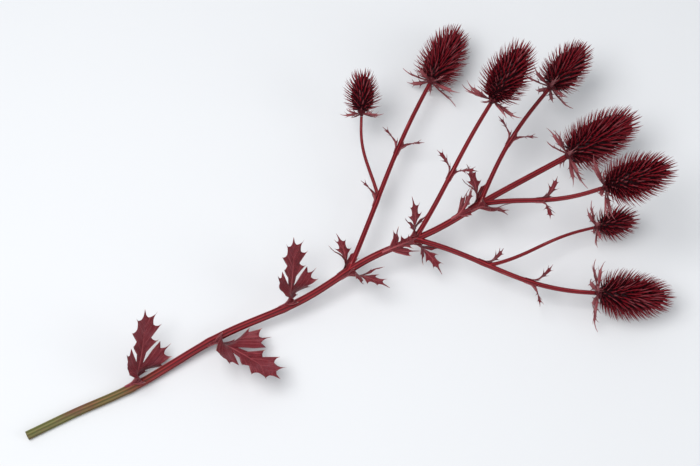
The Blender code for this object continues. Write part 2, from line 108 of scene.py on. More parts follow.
def foot_of(head):
    """Where a head's solid stands: the middle of its lowest ring, measured the way it points."""
    points = np.array([v.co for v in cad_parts["head_" + head].data.vertices])
    along = points @ unit(AIMS[head])
    return np.unique(points[along < along.min() + FOOT_RING].round(6), axis=0).mean(axis=0)


def evenly(curve, count):
    """The same curve as this many points at equal distances along it."""
    along = np.concatenate([[0], np.cumsum(np.linalg.norm(np.diff(curve, axis=0), axis=1))])
    wanted = np.linspace(0, along[-1], count)
    return np.column_stack([np.interp(wanted, along, curve[:, i]) for i in range(3)])


def smooth_through(points, count):
    """A Catmull-Rom spline: each stretch is a cubic of the two points at its ends and the two
    beyond them, so the curve goes through every point with no corner."""
    ends = np.vstack([2 * points[0] - points[1], points, 2 * points[-1] - points[-2]])
    a, b, c, d = (ends[i:len(ends) - 3 + i, None] for i in range(4))
    t = np.linspace(0, 1, SPLINE_POINTS, endpoint=False)[None, :, None]
    runs = 0.5 * (2 * b + (c - a) * t + (2 * a - 5 * b + 4 * c - d) * t**2
                  + (3 * b - a - 3 * c + d) * t**3)
    return evenly(np.vstack([runs.reshape(-1, 3), points[-1:]]), count)


class Axis:
    """A stem's middle line as close even points, with the way on and two ways across at each."""

    def __init__(self, points, radii):
        self.points = points
        self.along = np.linspace(0, np.linalg.norm(np.diff(points, axis=0), axis=1).sum(),
                                 len(points))
        self.forward = unit(np.gradient(points, axis=0))
        self.upward = unit(UP - (self.forward @ UP)[:, None] * self.forward)
        self.left = np.cross(self.upward, self.forward)
        self.radii = np.interp(self.along, [0, self.along[-1]], radii)

    def at(self, place, of):
        """Any of its rows of values, at a distance from its start."""
        return np.array([np.interp(place, self.along, column) for column in of.T])

    def outward(self, place, turn):
        """The way out of the stem, turned by this many degrees from straight up to the left."""
        turn = np.radians(turn)
        return unit(np.cos(turn) * self.at(place, self.upward)
                    + np.sin(turn) * self.at(place, self.left))


class Shade:
    """A number or a colour that varies over a surface. It holds a shader socket, and + - * and **
    on it add a Math node."""

    def __init__(self, socket):
        self.socket = socket

    def node(self, kind, settings, sockets, out=0):
        """Adds a node of any kind: its settings are set first, then its sockets get numbers,
        colours or links. It gives one of the node's outputs."""
        tree = self.socket.id_data
        made = tree.nodes.new(kind)
        for name, value in settings.items():
            setattr(made, name, value)
        for name, value in sockets.items():
            if isinstance(value, Shade):
                tree.links.new(value.socket, made.inputs[name])
            else:
                made.inputs[name].default_value = value
        return Shade(made.outputs[out])

    def math(self, operation, *values):
        """A Math node on these values."""
        return self.node("ShaderNodeMath", {"operation": operation}, dict(enumerate(values)))

    def __add__(self, other):
        return self.math("ADD", self, other)

    def __sub__(self, other):
        return self.math("SUBTRACT", self, other)

    def __rsub__(self, other):
        return self.math("SUBTRACT", other, self)

    def __mul__(self, other):
        return self.math("MULTIPLY", self, other)

    def __pow__(self, other):
        return self.math("POWER", self, other)

    __radd__, __rmul__ = __add__, __mul__

    def between(self, low, high):
        """0 at or below low, 1 at or above high, and smooth between the two."""
        return self.node("ShaderNodeMapRange", {"interpolation_type": "SMOOTHSTEP"},
                         {"Value": self, "From Min": low, "From Max": high})

    def mix(self, below, above):
        """The colour below where this is 0, the one above where it is 1, and blends between."""
        ends = {i: c if isinstance(c, Shade) else (*c, 1.0) for i, c in ((6, below), (7, above))}
        return self.node("ShaderNodeMix", {"data_type": "RGBA"}, {"Factor": self, **ends}, 2)

    def noise(self, scale, detail, stretch=(1, 1, 1)):
        """Fine uneven spots on this vector, with so many to the metre, longer along some axes."""
        spot = self.node("ShaderNodeVectorMath", {"operation": "MULTIPLY"}, {0: self, 1: stretch})
        return self.node("ShaderNodeTexNoise", {}, {"Vector": spot, "Scale": scale,
                                                    "Detail": detail})


def new_skin(name, roughness, shine=0.15, coat=0.0, soft=0.0):
    """A plant surface. It gives the material, its shader, and the place on the piece."""
    skin = bpy.data.materials.new(name)
    skin.use_nodes = True
    shader = skin.node_tree.nodes["Principled BSDF"]
    shader.inputs["Roughness"].default_value = roughness
    shader.inputs["Specular IOR Level"].default_value = shine
    shader.inputs["Coat Weight"].default_value = coat
    shader.inputs["Coat Roughness"].default_value = 0.35
    shader.inputs["Subsurface Weight"].default_value = soft
    shader.inputs["Subsurface Radius"].default_value = (1.0, 0.1, 0.1)
    shader.inputs["Subsurface Scale"].default_value = 0.6 * MM
    start = Shade(shader.inputs["Base Color"])
    place = start.node("ShaderNodeTexCoord", {}, {}, 3)
    return skin, shader, place


def layer(place, name):
    """A number that was worked out with the mesh, one for each of its points."""
    return place.node("ShaderNodeAttribute", {"attribute_name": name}, {}, 2)


def paint(shader, colour, roughness, bump, bump_height):
    """Joins a colour, a roughness and a relief to the shader."""
    relief = colour.node("ShaderNodeBump", {}, {"Strength": 1.0, "Distance": bump_height,
                                                "Height": bump})
    links = shader.id_data.links
    links.new(colour.socket, shader.inputs["Base Color"])
    links.new(roughness.socket, shader.inputs["Roughness"])
    links.new(relief.socket, shader.inputs["Normal"])


def tubes(sections):
    """Closed tubes over their cross sections. Sections holds, for each tube, rows of points round
    it: each row is joined to the next by quads, and one face closes each end."""
    count, rows, columns = sections.shape[:3]
    index = np.arange(count * rows * columns).reshape(count, rows, columns)
    after = np.roll(index, -1, axis=2)
    walls = np.stack([index[:, :-1], after[:, :-1], after[:, 1:], index[:, 1:]], axis=-1)
    ends = np.concatenate([index[:, 0, ::-1], index[:, -1]])
    return sections.reshape(-1, 3), walls.reshape(-1, 4).tolist() + ends.tolist()


def make_piece(name, points, faces, skin, slot, replaced, **layers):
    """Puts worked-out points, faces and layers of numbers into one smooth piece of the object,
    shown in place of a CAD node."""
    mesh = bpy.data.meshes.new(name)
    mesh.from_pydata(points.tolist(), [], faces)
    for title, values in layers.items():
        values = np.broadcast_to(values, len(points)) if np.ndim(values) == 0 else values
        mesh.attributes.new(title, "FLOAT", "POINT").data.foreach_set(
            "value", np.asarray(values, np.float32).ravel())
    mesh.shade_smooth()
    mesh.materials.append(skin)
    piece = bpy.data.objects.new(name, mesh)
    bpy.context.collection.objects.link(piece)
    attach(piece, "root")
    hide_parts(replaced)


def ribbed_sections(axis, ribs, swells, columns, flare=0.0, sunk=0.0):
    """Cross sections of a ribbed stem. Round the stem, its radius rises to each rib by a cosine
    raised to a sharper crest, with fine lines on top. Along the stem it swells by a bell curve at
    each leaf and fork, and flares at its foot by a falling exponential past the parent's skin.
    It also gives, for each point, how far out it is between groove and rib, from 0 to 1, and
    where it would be if the stem were straight, for a grain that runs along it."""
    angle = np.linspace(0, 2 * np.pi, columns, endpoint=False)[None, :]
    crest = (0.5 + 0.5 * np.cos(ribs * angle)) ** 0.8
    stria = np.cos(5 * ribs * angle + 1.5 * np.sin(3 * angle))
    along = axis.along[:, None]
    swell = sum(np.exp(-(((along - s) / NODE_LENGTH) ** 2)) for s in swells) if swells else 0.0
    foot = flare * np.exp(-np.clip(along - sunk, 0, None) / FLARE_RUN)
    radius = axis.radii[:, None] * (1 + RIB_RELIEF * (2 * crest - 1) + STRIA_RELIEF * stria
                                    + NODE_SWELL * swell + foot)
    sections = (axis.points[:, None] + radius[..., None]
                * (np.cos(angle)[..., None] * axis.upward[:, None]
                   - np.sin(angle)[..., None] * axis.left[:, None]))
    straight = {"rib": crest, "east": radius * np.cos(angle), "north": radius * np.sin(angle),
                "along": along}
    return sections, {title: np.broadcast_to(v, radius.shape) for title, v in straight.items()}


feet = {head: foot_of(head) for head in AIMS}
aims = {head: unit(aim) for head, aim in AIMS.items()}
shift = feet["top"] - np.array(MAIN_AXIS[-1]) * MM
stem_ends = {head: feet[head] - (COLLAR_HEIGHT + 2 * GAP) * aims[head] for head in AIMS}
main_points = np.array(MAIN_AXIS[:-1]) * MM + shift
main_end = stem_ends["top"]
main_curve = smooth_through(np.vstack([main_points, main_end - TIP_RUN * aims["top"]]),
                            MAIN_POINTS)
axes = {"main": Axis(evenly(np.vstack([main_curve, main_end]), MAIN_POINTS), MAIN_RADII)}
main_swells = [*MAIN_LEAVES, *(fork - NODE_BELOW for fork in MAIN_FORKS)]

stem_skin, stem_shader, spot = new_skin("stem_skin", 0.42, 0.16, 0.04, 0.06)
rib = layer(spot, "rib")
straightened = spot.node("ShaderNodeCombineXYZ", {}, {0: layer(spot, "east"),
                                                      1: layer(spot, "north"),
                                                      2: layer(spot, "along")})
lengthwise = straightened.noise(560, 4, (1, 1, 0.07))
grain = straightened.noise(1700, 3, (1, 1, 0.05))
blotch = spot.noise(38, 3)
along_stem = spot.node("ShaderNodeSeparateXYZ", {}, {0: spot})
dye = (along_stem + 0.075 * (blotch - 0.5) + 0.03 * (lengthwise - 0.5)).between(*DYE_STARTS)
# Painted shade in the grooves, and painted highlights on the ribs' crests.
dyed = (rib * 0.75 + 0.5 * (lengthwise - 0.5)).between(0.0, 0.45).mix(DYED_GROOVE_SHADE, DYED_STEM)
dyed = (rib + 0.9 * (lengthwise - 0.5)).between(0.62, 1.15).mix(dyed, DYED_RIB_HIGHLIGHT)
dyed = (lengthwise * 1.1 + 0.5 * blotch).between(0.93, 1.10).mix(dyed, DYED_SCUFF)
# Where the stem is bare, painted highlights on the ribs' crests too.
bare = (rib * 0.8 + 0.9 * (grain - 0.5)).between(0.1, 0.9).mix(BARE_STEM, BARE_RIB_HIGHLIGHT)
bare = (0.7 * blotch + 0.5 * grain).between(0.62, 0.78).mix(bare, BARE_FLUSH)
pores = spot.noise(3400, 3)
cut_face = (0.7 * pores + 0.4 * spot.noise(700, 2)).between(0.45, 0.75).mix(PITH, PITH_PORE)
stem_colour = layer(spot, "pith").mix(dye.mix(bare, dyed), cut_face)
paint(stem_shader, stem_colour, 0.34 + 0.22 * blotch, lengthwise + 0.5 * grain + 0.4 * pores,
      0.18 * MM)

sections, layers = ribbed_sections(axes["main"], MAIN_RIBS, main_swells, MAIN_COLUMNS)
sections[..., 2] = sections[..., 2].clip(min=0.0)
cap_in = np.array(CAP_RINGS)[:, None, None]
cap = sections[0].mean(axis=0) + cap_in * (sections[0] - sections[0].mean(axis=0))
cap = cap + np.interp(cap_in, *CAP_RISE) * axes["main"].forward[0]
pith = np.repeat([*CAP_PITH, *np.zeros(len(sections))], MAIN_COLUMNS)
layers = {title: np.concatenate([cap_in[..., 0] * v[:1], v]) for title, v in layers.items()}
points, faces = tubes(np.concatenate([cap, sections])[None])
make_piece("ribbed_main_stem", points, faces, stem_skin, "stems", "main_stem", pith=pith,
           **layers)

# The side stems: thinner ribbed stems that grow from the main stem or from each other, each in
# the axil of a leaf. Each is one with its parent: its foot flares into it.

SIDE_STEMS = [  # head, parent, place along it in mm, degrees from it, radii in mm
    ("left_low", "main", 300, 36, (2.2, 1.7)),
    ("right_low", "main", 362, 36, (2.2, 1.7)),
    ("left_high", "main", 362, 38, (2.1, 1.6)),
    ("right_high", "main", 425, 38, (2.1, 1.6)),
    ("left_middle", "main", 425, 36, (2.0, 1.6)),
    ("left_small", "left_low", 72, 38, (1.5, 1.2)),
    ("right_small", "right_low", 66, 38, (1.5, 1.2)),
]
SIDE_RIBS = 6
SIDE_FLARE = 0.45
SIDE_POINTS = 160
SIDE_COLUMNS = 60
BEZIER_POINTS = 200
HANDLE = 0.4
STALK_PAIRS = {  # how far along the side stem its pair of leaves stands, as a share
    "left_low": 0.62,
    "right_low": 0.64,
    "left_high": 0.46,
    "right_high": 0.5,
    "left_middle": 0.5,
}


def bent_between(start, away, end, arriving, count):
    """A cubic Bezier curve: it leaves start one way and arrives at end another, with handles of
    a set share of the distance between them."""
    handle = HANDLE * np.linalg.norm(end - start)
    one, two = start + handle * away, end - handle * arriving
    t = np.linspace(0, 1, BEZIER_POINTS)[:, None]
    curve = ((1 - t)**3 * start + 3 * (1 - t)**2 * t * one + 3 * (1 - t) * t**2 * two
             + t**3 * end)
    return evenly(curve, count)


axil_turns = {}
for head, parent_name, place, leaves_at, radii in SIDE_STEMS:
    parent, place = axes[parent_name], place * MM
    start, end = parent.at(place, parent.points), stem_ends[head]
    up_share = (end - start) @ parent.outward(place, 0)
    left_share = (end - start) @ parent.outward(place, 90)
    turn = axil_turns[head] = float(np.degrees(np.arctan2(left_share, up_share)))
    lean = np.radians(leaves_at)
    away = (np.cos(lean) * unit(parent.at(place, parent.forward))
            + np.sin(lean) * parent.outward(place, turn))
    curve = bent_between(start, away, end - TIP_RUN * aims[head], aims[head], SIDE_POINTS)
    axes[head] = Axis(evenly(np.vstack([curve, end]), SIDE_POINTS), np.array(radii) * MM)
    swells = [STALK_PAIRS[head] * axes[head].along[-1]] if head in STALK_PAIRS else []
    swells += [s[2] * MM - NODE_BELOW for s in SIDE_STEMS if s[1] == head]
    sunk = float(np.interp(place, parent.along, parent.radii)) / np.sin(lean)
    sections, layers = ribbed_sections(axes[head], SIDE_RIBS, swells, SIDE_COLUMNS, SIDE_FLARE,
                                       sunk)
    points, faces = tubes(sections[None])
    make_piece("ribbed_side_stem_" + head, points, faces, stem_skin, "stems", "side_stem_" + head,
               pith=0.0, **layers)

# The leaves: stiff toothed leaves with a spine on each tooth. The lower ones are palmate and as
# wide as a hand's palm, those at the forks are cut in three, and small narrow ones stand in pairs
# on the side stems. Each clasps its stem with a short sheath.

BLADE_THICK = 0.5 * MM
EDGE_THICK = 0.16 * MM
FLOOR_CLEAR = 0.1 * MM
SHEATH = 6 * MM
SHEATH_OUTLINE = [(0, 0.3), (0.15, 0.75), (0.45, 1), (1, 1)]
SHEATH_OPENS = 4 * MM
HUG = (1.06, 0.45 * MM)  # the stem's radius times the first, and the second more
BEND_RUN = 7 * MM
BEND_STEPS = 200
BEND_WINDOW = 21  # steps
CLASP = np.radians(42)
AXIL = 7 * MM
OPENING = 0.075
CHANNEL = 38 * MM
TWIST_RUN = (10 * MM, 26 * MM)
SIDE_TWIST = 58
WAVE = 0.8 * MM
TOOTH_SAG = 0.12
TOOTH_LEAST = 0.6  # of the width that it has before it sags
DRAWN_OUT_RUN = 0.8  # points
VEIN_LEAN = 1.5
VEIN_HEIGHT = 0.2 * MM
MIDRIB_HEIGHT = 0.45 * MM
MIDRIB_WIDTH = 2.4  # times the blade's thickness
PUFF = 1.1 * MM
PUFF_FULL = 20 * MM  # of half width, from where it puffs in full
CROWDING = 1.7
LEAF_SPINE = 1.9 * MM
LEAF_SPINE_FULL = 12 * MM  # of half width, from where its spines have their full length
SPINE_SWELL = 0.12 * MM
APEX_TAPER = 4 * MM
APEX_HALF_WIDTH = 0.05 * MM
APEX_LEAST = 0.12
SMALL_OUTLINE = [(0.24, 0.34), (0.42, 1.0), (0.39, 0.42), (0.50, 0.46), (0.68, 0.9), (0.63, 0.34),
                 (0.73, 0.34), (0.86, 0.55), (0.83, 0.2)]
FORK_OUTLINE = [(0.19, 0.17), (0.30, 0.55), (0.35, 0.45), (0.44, 0.86), (0.47, 0.70), (0.63, 1.0),
                (0.51, 0.42), (0.36, 0.14), (0.50, 0.22), (0.62, 0.47), (0.63, 0.26),
                (0.80, 0.36), (0.80, 0.14)]
PALM_OUTLINE = [(0.13, 0.16), (0.20, 0.52), (0.25, 0.47), (0.31, 0.84), (0.35, 0.72),
                (0.43, 1.0), (0.45, 0.80), (0.55, 0.93), (0.51, 0.66), (0.59, 0.62),
                (0.49, 0.40), (0.32, 0.13), (0.48, 0.20), (0.60, 0.48), (0.64, 0.30),
                (0.77, 0.56), (0.79, 0.34), (0.92, 0.40), (0.89, 0.14)]
LEAVES = [  # name, stem, place, turn, length, half width, degrees out and at its tip, twist
    ("leaf_low", "main", 92, 44, 74, 27, 52, 66, 58, PALM_OUTLINE),
    ("leaf_middle", "main", 168, -74, 78, 28, 60, 70, -62, PALM_OUTLINE),
    ("leaf_upper", "main", 236, 50, 66, 23, 60, 68, 56, PALM_OUTLINE),
    ("leaf_fork_low", "main", 293, -74, 48, 16, 50, 72, -60, FORK_OUTLINE),
    ("leaf_fork_middle", "main", 335, -20, 44, 14, 46, 62, -24, FORK_OUTLINE),
    ("leaf_fork_high", "main", 400, 18, 40, 13, 46, 66, 20, FORK_OUTLINE),
]
LEAF_MESH = (10, 8)  # points from midrib to edge, and along each side of a tooth
AXIL_LEAF = (44, 14, 62, 86)  # length, half width, degrees out and at its tip
AXIL_MESH = (7, 7)
SMALL_AXIL_LEAF = (28, 6, 62, 84)
PAIR_LEAF = (29, 5.6, 54, 76)
PAIR_TURNS = {"a": 75, "b": -80}
SMALL_MESH = (5, 6)
LEAF_DEEP = (0.066, 0.004, 0.008)
LEAF_FACE = (0.145, 0.009, 0.016)
LEAF_BLOOM = (0.165, 0.034, 0.048)
LEAF_VEIN = (0.400, 0.090, 0.100)
SPINE_TIP = (0.560, 0.270, 0.240)


def curving(bends, length, start, outward, forward):
    """A midrib that turns away from forward, towards outward, by (distance, degrees) pairs. Its
    place is the running sum of the cosine and sine of that angle. It gives, for distances from
    the base, points on it and the way that the blade's face looks."""
    place = np.linspace(0, length, BEND_STEPS)
    angle = np.radians(np.interp(place, *zip(*bends)))
    window = np.hanning(BEND_WINDOW)
    angle = np.convolve(np.pad(angle, BEND_WINDOW // 2, "edge"), window / window.sum(), "valid")
    run, rise = (np.concatenate([[0], np.cumsum((part[1:] + part[:-1]) / 2 * place[1])])
                 for part in (np.cos(angle), np.sin(angle)))

    def along(u):
        bend = np.interp(u, place, angle)[..., None]
        point = (start + np.interp(u, place, run)[..., None] * forward
                 + np.interp(u, place, rise)[..., None] * outward)
        return point, np.sin(bend) * forward - np.cos(bend) * outward

    return along


def toothed_edge(half, length, half_width, lead, steps, spine):
    """One edge of a blade from its base to its tip, through the corners of its outline. Each side
    of a tooth sags inwards by a parabola, but keeps a share of its width, with its points crowded
    towards the tip by a power, and there a falling exponential draws the tooth out to a thin
    spine. It gives the edge, how near each of its points is to a tooth's tip by a bell curve, how
    far that point is drawn out, and which way that tooth is raised."""
    corners = np.array([*lead, *((u * length, v * half_width) for u, v in half), (length, 0.0)])
    width = corners[:, 1]
    is_tip = np.zeros(len(corners), bool)
    is_tip[len(lead) + 1:-1] = ((width[len(lead) + 1:-1] > width[len(lead):-2])
                                & (width[len(lead) + 1:-1] > width[len(lead) + 2:]))
    is_tip[-1] = True
    t = np.arange(steps) / steps
    t = np.where(is_tip[1:, None], 1 - (1 - t) ** CROWDING,
                 np.where(is_tip[:-1, None], t ** CROWDING, t))
    start, end = corners[:-1, None], corners[1:, None]
    run = end - start
    inward = np.stack([run[..., 1], -run[..., 0]], axis=-1)
    sag = np.where((is_tip[1:] | is_tip[:-1])[:, None], TOOTH_SAG * 4 * t * (1 - t), 0.0)
    sag[:len(lead)] = 0.0
    straight = start + run * t[..., None]
    edge = straight + inward * sag[..., None]
    edge[..., 1] = np.maximum(edge[..., 1], TOOTH_LEAST * straight[..., 1])
    edge = np.vstack([edge.reshape(-1, 2), [[length, APEX_HALF_WIDTH]]])
    tips = np.flatnonzero(is_tip)
    pointing = corners[tips[:-1]] - (corners[tips[:-1] - 1] + corners[tips[:-1] + 1]) / 2
    pointing = unit(np.vstack([pointing, [[1.0, 0.0]]]))
    away = np.abs(np.arange(len(edge))[:, None] - steps * tips[None, :])
    nearest, away = away.argmin(axis=1), away.min(axis=1)
    near = np.exp(-((away / (0.5 * steps)) ** 2))
    drawn_out = np.exp(-away / DRAWN_OUT_RUN)
    edge = edge + spine * drawn_out[:, None] * pointing[nearest]
    raised = np.where(nearest % 2, -1.0, 1.0) * (nearest < len(tips) - 1)
    return edge, near, drawn_out, raised


def blade_sections(edge, near, drawn_out, raised, bend, base, across, thick):
    """Cross sections of a blade, from its base to its tip, each a loop over its face and back
    under it. A section runs from one edge to the midrib and on to the other edge, and the midrib
    end lags behind the edge, as a side vein does. The face swells between the veins by a
    parabola, each vein stands out at the back, and the blade thins towards its base, its edge
    and its apex, except at the spines, where it swells. Teeth rise and dip in turn by a power of
    how far out they are. It also gives layers for the looks: the veins, the way along the edge in
    mm, the side, and the spines' tips."""
    u_mid = np.maximum.accumulate(np.where(edge[:, 0] <= base, edge[:, 0],
                                           (edge[:, 0] - VEIN_LEAN * edge[:, 1]).clip(min=base)))
    share = np.linspace(-1, 1, 2 * across + 1)
    out = np.abs(share)[None, :]
    u = u_mid[:, None] + out * (edge[:, 0] - u_mid)[:, None]
    v = share[None, :] * edge[:, 1][:, None]
    vein = near[:, None] * (1 - out ** 6)
    midrib = np.exp(-((v / (MIDRIB_WIDTH * thick)) ** 2)) * (1 - (u / edge[-1, 0]) ** 3)
    open_blade = ((u - base) / SHEATH_OPENS).clip(0, 1)
    puff = PUFF * ((edge[:, 1] / PUFF_FULL).clip(max=1) * (1 - near))[:, None]
    puff = puff * 4 * out * (1 - out)
    tilt = (raised * near)[:, None] * WAVE * out ** 3
    body = thick / 2 * (1 - out ** 2) + EDGE_THICK / 2 * out ** 2
    body = body + (SPINE_SWELL * drawn_out * (drawn_out < 1))[:, None] * out ** 8
    body = np.where(u < base, body * (0.2 + 0.8 * u / max(base, 1e-9)), body)
    to_apex = ((edge[-1, 0] - u) / APEX_TAPER).clip(APEX_LEAST, 1)
    body, vein_rise, midrib_rise = body * to_apex, vein * to_apex, midrib * to_apex
    point, normal = bend(u, v)
    face = point + (tilt + body + open_blade * (puff - 0.3 * VEIN_HEIGHT * vein_rise)
                    )[..., None] * normal
    back = point + (tilt - body + open_blade * (puff - VEIN_HEIGHT * vein_rise
                                                - MIDRIB_HEIGHT * midrib_rise))[..., None] * normal
    lane = np.concatenate([[0], np.cumsum(np.linalg.norm(np.diff(edge, axis=0), axis=1))]) / MM
    apex = ((u / edge[-1, 0] - 0.95) / 0.05).clip(0, 1)
    layers = {"vein": np.maximum(vein, midrib), "lane": lane[:, None], "side": share[None],
              "tip": np.maximum(drawn_out[:, None] * out ** 6, apex)}
    for name, values in layers.items():
        values = np.broadcast_to(values, v.shape)
        layers[name] = np.concatenate([values[:, ::-1], values], axis=1)
    return np.concatenate([face[:, ::-1], back], axis=1), layers


def leaf(stem, place, turn, length, half_width, out, tip, twist, half, across, steps):
    """A leaf's cross sections. Its blade lies on a cylinder that hugs the stem along its sheath
    and opens out to a shallow channel, by an exponential, as it bends away. Past the sheath it
    turns about its midrib, by a smooth step."""
    axis, place, length, half_width = axes[stem], place * MM, length * MM, half_width * MM
    outward, forward = axis.outward(place, turn), unit(axis.at(place, axis.forward))
    aside = np.cross(forward, outward)
    hug = float(np.interp(place, axis.along, axis.radii)) * HUG[0] + HUG[1]
    start = axis.at(place, axis.points) + hug * outward - SHEATH / 2 * forward
    along = curving([(0, 0), (SHEATH, 2), (SHEATH + BEND_RUN, out), (length, tip)], length, start,
                    outward, forward)

    def bend(u, v):
        middle, front = along(u)
        turned = np.interp(u, TWIST_RUN, [0, 1])[..., None]
        turned = np.radians(twist) * turned**2 * (3 - 2 * turned)
        sideways = np.cos(turned) * aside - np.sin(turned) * front
        front = np.cos(turned) * front + np.sin(turned) * aside
        fade = np.exp(-np.clip(u - SHEATH, 0, None) / (OPENING * length))
        curl = (fade / hug + (1 - fade) / CHANNEL)[..., None]
        swing = curl * v[..., None]
        return (middle + np.sin(swing) / curl * sideways + (1 - np.cos(swing)) / curl * front,
                np.cos(swing) * front - np.sin(swing) * sideways)

    base = hug * CLASP
    lead = [(u * SHEATH, v * base) for u, v in SHEATH_OUTLINE]
    edge = toothed_edge(half, length, half_width, lead, steps,
                        LEAF_SPINE * min(1, half_width / LEAF_SPINE_FULL) ** 0.5)
    return blade_sections(*edge, bend, SHEATH, across, BLADE_THICK)


leaf_skin, leaf_shader, spot = new_skin("leaf_skin", 0.4, 0.2, 0.03, 0.06)
wander = spot.node("ShaderNodeTexNoise", {}, {"Vector": spot, "Scale": 500.0}, 1)
wander = spot.node("ShaderNodeVectorMath", {"operation": "MULTIPLY_ADD"},
                   {0: wander, 1: (1.6 * MM,) * 3, 2: spot})
net = spot.node("ShaderNodeTexVoronoi", {"feature": "DISTANCE_TO_EDGE"},
                {"Vector": wander, "Scale": 640.0})
bloom = spot.noise(55, 4)
mottle = spot.noise(520, 3)
lanes = spot.node("ShaderNodeCombineXYZ", {}, {0: layer(spot, "lane"), 1: layer(spot, "side")})
hair_veins = lanes.noise(0.85, 2, (1.0, 0.9, 1.0)).between(0.50, 0.68)
leaf_colour = (0.7 * bloom + 0.5 * mottle).between(0.38, 0.62).mix(LEAF_DEEP, LEAF_FACE)
leaf_colour = (bloom * 0.9 + 0.35 * mottle).between(0.58, 0.88).mix(leaf_colour, LEAF_BLOOM)
leaf_colour = ((1 - net.between(0.0, 0.12)) * 0.16).mix(leaf_colour, LEAF_VEIN)
leaf_colour = (hair_veins * 0.40).mix(leaf_colour, LEAF_VEIN)
leaf_colour = (layer(spot, "vein").between(0.45, 1.0) * 0.85).mix(leaf_colour, LEAF_VEIN)
leaf_colour = layer(spot, "tip").between(0.1, 0.6).mix(leaf_colour, SPINE_TIP)
paint(leaf_shader, leaf_colour, 0.30 + 0.2 * mottle,
      0.5 * net.between(0.0, 0.25) + 0.5 * mottle + 0.8 * hair_veins, 0.16 * MM)

leaves = [(*row, *LEAF_MESH) for row in LEAVES]
for head, parent_name, place, *_ in SIDE_STEMS:
    turn = axil_turns[head]
    twist = np.sign(turn) * SIDE_TWIST
    size = (*AXIL_LEAF, twist, FORK_OUTLINE, *AXIL_MESH) if parent_name == "main" else (
        *SMALL_AXIL_LEAF, twist, SMALL_OUTLINE, *SMALL_MESH)
    leaves.append(("leaf_under_" + head, parent_name, place - AXIL / MM, turn, *size))
for head, share in STALK_PAIRS.items():
    place = share * axes[head].along[-1] / MM
    leaves += [(f"leaf_{head}_{side}", head, place, turn, *PAIR_LEAF,
                np.sign(turn) * SIDE_TWIST, SMALL_OUTLINE, *SMALL_MESH)
               for side, turn in PAIR_TURNS.items()]
for name, *values in leaves:
    loop, layers = leaf(*values)
    loop[..., 2] = loop[..., 2].clip(min=FLOOR_CLEAR)
    points, faces = tubes(loop[None])
    make_piece("toothed_" + name, points, faces, leaf_skin, "leaves", name, **layers)

# The heads: a dense thimble-shaped core, crowded with small florets in a spiral, with a stiff
# spine under each floret. The spines stand square to the stem at the foot of a head and sweep
# up towards its top.

HEADS = {  # the core's radius and height and the spines' length, in mm
    "top": (12.6, 58, 12.5),
    "left_low": (11.4, 49, 12),
    "right_low": (11.6, 52, 12),
    "left_high": (11.0, 45, 11.5),
    "right_high": (11.2, 48, 12),
    "left_middle": (10.4, 42, 11),
    "left_small": (8.0, 29, 9.5),
    "right_small": (7.8, 28, 9.5),
}
PROFILE_POINTS = 400
CORE_WIDEST = 0.36  # as a share of its height
CORE_FOOT = 0.5  # the radius at its foot, as a share of the widest
CORE_ROWS = 56
CORE_COLUMNS = 48
CORE_RELIEF = 0.02
CORE_KNOBS = 13
CORE_KNOB_TURN = 40  # radians from foot to top
CORE_BEVEL = 0.9
CORE_TOP = 0.9995
SPINE_ROOM = 8.0 * MM**2  # of the core's surface to each spine
SPINE_SUNK = 0.66 * MM
SPINE_MORE = 1.3  # mm that each is longer than the table says
SPINE_HALF_WIDTH = 0.86 * MM
SPINE_FLATNESS = 0.55
SPINE_SWEEP = 0.045
SPINE_LEAN = (4, 74)  # degrees up from square to the stem, at the foot and at the top
SPINE_UNEVEN = (-0.18, 0.1)
SPINE_SHARES = ((0, 0.08, 0.9, 1), (0.8, 1, 1, 0.86))  # of full length, up the head
SPINE_ROWS = np.array([0, 0.16, 0.42, 0.72, 1.0])
SPINE_COLUMNS = 4
BEARING_STRAY = 0.04  # radians
LEAN_STRAY = 3.5  # degrees
THORN_TAPER = 0.65
FLORET_LENGTH = 3.6 * MM
FLORET_RADIUS = 0.85 * MM
FLORET_SUNK = 0.4 * MM
FLORET_TILT = (25, 88)  # degrees up, where the core is upright, and at most
FLORET_FOLLOWS = 0.75  # of the core's slope
FLORET_STRAY = 0.06  # radians
FLORET_ROWS = np.array([0, 0.3, 0.6, 0.85, 1.0])
FLORET_COLUMNS = 5
# The florets lie deep among the spines and take in part the painted shade of the spines' feet and
# of the core.
FLORET_STRETCH = np.array([0, 0.1, 0.2, 0.5, 0.62])  # the part of a spine's colours it takes
FLORET_CORE = 0.35
HEAD_TONES = (0.0, 0.35)
HEAD_SEED = 40
GOLDEN = np.pi * (3 - np.sqrt(5))
# The core's colour is its own near-black made darker still by painted shade, and the spines' foot
# colour is painted shade deep among the spines.
CORE_COLOUR_AND_SHADE = (0.016, 0.001, 0.003)
SPINE_FOOT_SHADE = (0.042, 0.002, 0.005)
SPINE_BODY = (0.185, 0.006, 0.013)
SPINE_BRIGHT = (0.370, 0.013, 0.022)
# The spines' own pale tips, made paler still by a painted highlight.
SPINE_END_AND_HIGHLIGHT = (0.255, 0.062, 0.074)
# painted sheen on some of the spines
SPINE_PAINTED_SHEEN = (0.240, 0.048, 0.058)


def core_profile(radius, height):
    """A head's core from foot to top: below its widest place the radius falls off as a parabola,
    and above it as a rounded power, so that the top is blunt."""
    share = np.linspace(0, 1, PROFILE_POINTS)
    below = 1 - (1 - CORE_FOOT) * ((CORE_WIDEST - share) / CORE_WIDEST).clip(0) ** 2
    above = (1 - ((share - CORE_WIDEST) / (1 - CORE_WIDEST)).clip(0) ** 2.3) ** 0.55
    return radius * np.where(share < CORE_WIDEST, below, above), height * share


def rings(out, level, turn, ripple):
    """Rings round +Z, each of its own radius and level, made uneven by a ripple."""
    return np.stack([out[:, None] * np.cos(turn) * ripple, out[:, None] * np.sin(turn) * ripple,
                     np.broadcast_to(level[:, None], ripple.shape)], axis=-1)


